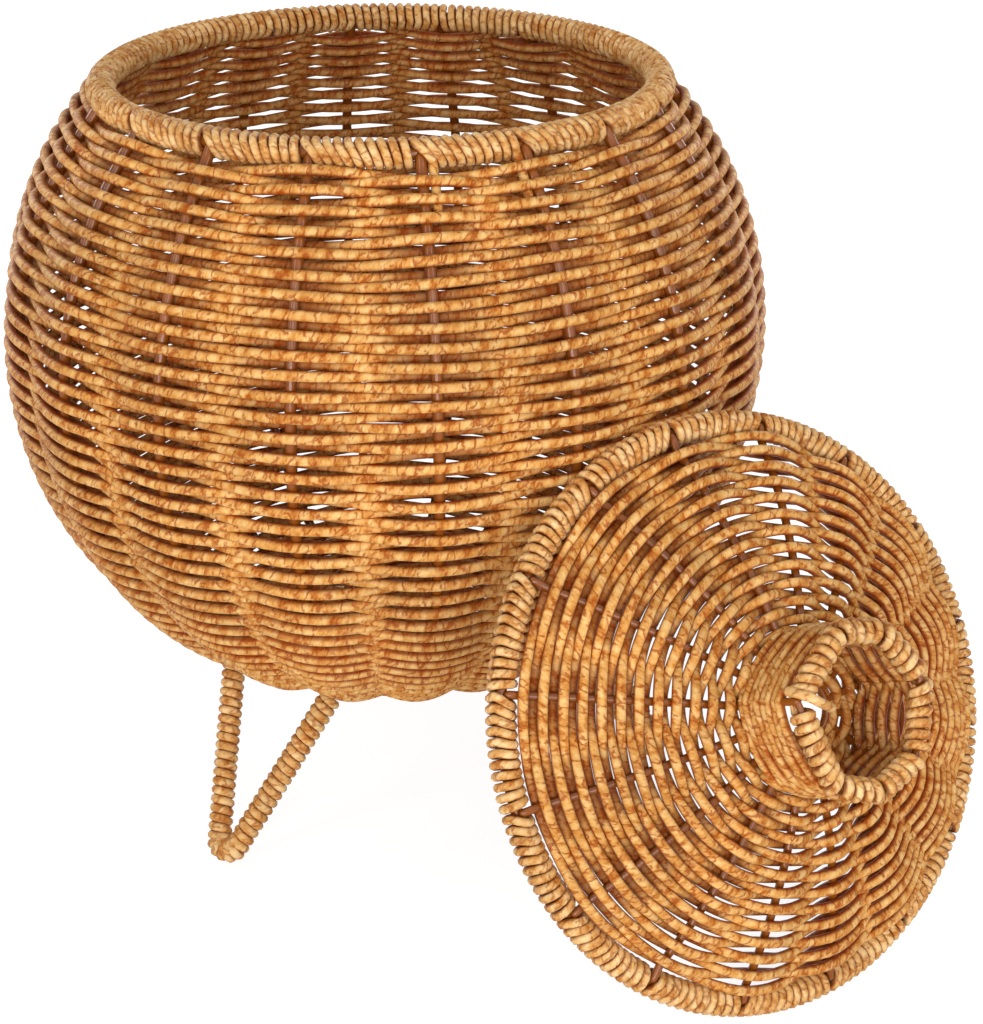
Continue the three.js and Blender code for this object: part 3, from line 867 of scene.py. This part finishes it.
def knob_wires():
    """The knob's two rings and its stakes."""
    stake_inset = 1.0  # at the foot
    wires = []
    for height in (knob_first_row, knob_height):
        wires.append(Run([knob_point(side, 0, 0, height) for side in range(knob_sides)], closed=True))
    for side in range(knob_sides):
        foot = knob_point(side, 0, -stake_inset, knob_first_row)
        head = knob_point(side, 0, 0, knob_height)
        wires.append(round_ended([foot, head], stake_wire))
    return wires


def lid():
    body = "lid"
    rows = [dome_row(row) for row in range(lid_rows)]
    lay("dome_weave", rows, dome_cord, woven, body, "lid_weave")

    entry = rim_latitude + math.pi / 2
    reach = (lid_wrap - rim_cord) / 2
    winding = wound_ring(lid_radius, 0, reach, entry, spoke_count, lid_group, lid_gap, first_spoke)
    lay("lid_wound", [winding], rim_cord, wound, body, "lid_wrap")
    lay("lid_wire", [ring(lid_radius, 0)], lid_wire, wire, body, "lid_ring")
    hub_height = dome_centre + dome_radius * math.sin(hub_latitude)
    hub = ring(lid_hub_radius, hub_height, hub_steps)
    lay("lid_hub_wire", [hub], spoke_wire, wire, body, "lid_hub_ring")
    for index in range(spoke_count):
        name = f"lid_spoke_{index + 1:02d}"
        lay(f"{name}_wire", [spoke(index)], spoke_wire, wire, body, name)

    rows = [knob_row(row) for row in range(knob_row_count)]
    lay("knob_rows", rows, cord, woven, body, "knob_weave")
    lay("knob_wound", [knob_winding()], knob_cord, wound, body, "knob_wrap")
    lay("knob_tail", [knob_tail()], knob_cord, wound, body)
    lay("knob_wires", knob_wires(), stake_wire, wire, body, "knob_frame")


basket()
lid()


# Studio, in metres and watts apart from the camera

camera_from_axis = Vector((0, -713.4, 419.5))  # millimetres from the foot of the basket's axis
camera_turn = math.radians(2.8)
camera_dip = math.radians(24.716)
camera_lens = 79.62
camera_sensor = 36
fill_light = 0.27
floor_reach = 8.0
floor_glow = 0.85
floor_shown = paint(150, 150, 150)
floor_bounce = paint(240, 240, 240)
aim_height = 0.12  # of the point that the softboxes face

# Place, width, height and power of each softbox
softboxes = {
    "left_softbox": ((-1.3, -1.2, 1.0), 0.5, 1.4, 9),
    "right_softbox": ((1.2, -1.2, 0.9), 0.4, 1.4, 6.8),
    "top_softbox": ((0.0, -0.3, 1.8), 1.2, 1.0, 2.5),
    "low_softbox": ((-0.2, -1.7, 0.25), 1.4, 0.4, 13),
    "front_softbox": ((0.1, -1.6, 0.8), 1.0, 0.6, 8),
    "back_left_softbox": ((-1.1, 1.4, 0.8), 0.8, 1.2, 10),
    "back_right_softbox": ((1.1, 1.4, 0.8), 0.8, 1.2, 10),
}


def camera():
    data = bpy.data.cameras.new("camera")
    data.lens = camera_lens
    data.sensor_width = camera_sensor
    made = bpy.data.objects.new("camera", data)
    made.location = basket_place @ camera_from_axis
    made.rotation_euler = (math.pi / 2 - camera_dip, 0, -camera_turn)
    bpy.context.scene.collection.objects.link(made)
    bpy.context.scene.camera = made


def seen_directly(nodes):
    """1 for the rays that show the background: from the camera, in a reflection or through glass."""
    path = nodes.add("ShaderNodeLightPath").outputs
    seen = nodes.math("MAXIMUM", path["Is Camera Ray"], path["Is Glossy Ray"])
    return nodes.math("MAXIMUM", seen, path["Is Transmission Ray"])


def floor():
    """White floor. It glows for the rays that show the background, and only bounces light for the rest."""
    shape = bmesh.new()
    bmesh.ops.create_grid(shape, x_segments=1, y_segments=1, size=floor_reach)
    mesh = bpy.data.meshes.new("floor")
    shape.to_mesh(mesh)
    shape.free()
    material = bpy.data.materials.new("white_floor")
    nodes = Nodes(material)
    bounce = nodes.add("ShaderNodeBsdfDiffuse", {0: floor_bounce})
    shown = nodes.add("ShaderNodeBsdfDiffuse", {0: floor_shown})
    glow = nodes.add("ShaderNodeEmission", {"Strength": floor_glow})
    white = nodes.add("ShaderNodeAddShader", {0: shown.outputs[0], 1: glow.outputs[0]})
    mixed = nodes.add("ShaderNodeMixShader", {0: seen_directly(nodes)})
    nodes.feed(mixed.inputs[1], bounce.outputs[0])
    nodes.feed(mixed.inputs[2], white.outputs[0])
    nodes.add("ShaderNodeOutputMaterial", {0: mixed.outputs[0]})
    mesh.materials.append(material)
    made = bpy.data.objects.new("floor", mesh)
    bpy.context.scene.collection.objects.link(made)


def surroundings():
    """White all round where the background shows, and a weak fill for the rest of the light."""
    world = bpy.data.worlds.new("white_room")
    bpy.context.scene.world = world
    nodes = Nodes(world)
    strength = nodes.spread(seen_directly(nodes), 0, 1, to_low=fill_light)
    light = nodes.add("ShaderNodeBackground", {"Strength": strength})
    light.inputs["Color"].default_value = (1, 1, 1, 1)
    nodes.add("ShaderNodeOutputWorld", {0: light.outputs[0]})


def softbox(name, place, width, height, power):
    data = bpy.data.lights.new(name, "AREA")
    data.shape = "RECTANGLE"
    data.size = width
    data.size_y = height
    data.energy = power
    made = bpy.data.objects.new(name, data)
    made.location = place
    aim = Vector((0, 0, aim_height)) - Vector(place)
    made.rotation_euler = aim.to_track_quat("-Z", "Y").to_euler()
    bpy.context.scene.collection.objects.link(made)


def studio():
    bpy.context.scene.view_settings.view_transform = "Standard"
    camera()
    floor()
    surroundings()
    for name, settings in softboxes.items():
        softbox(name, *settings)


studio()
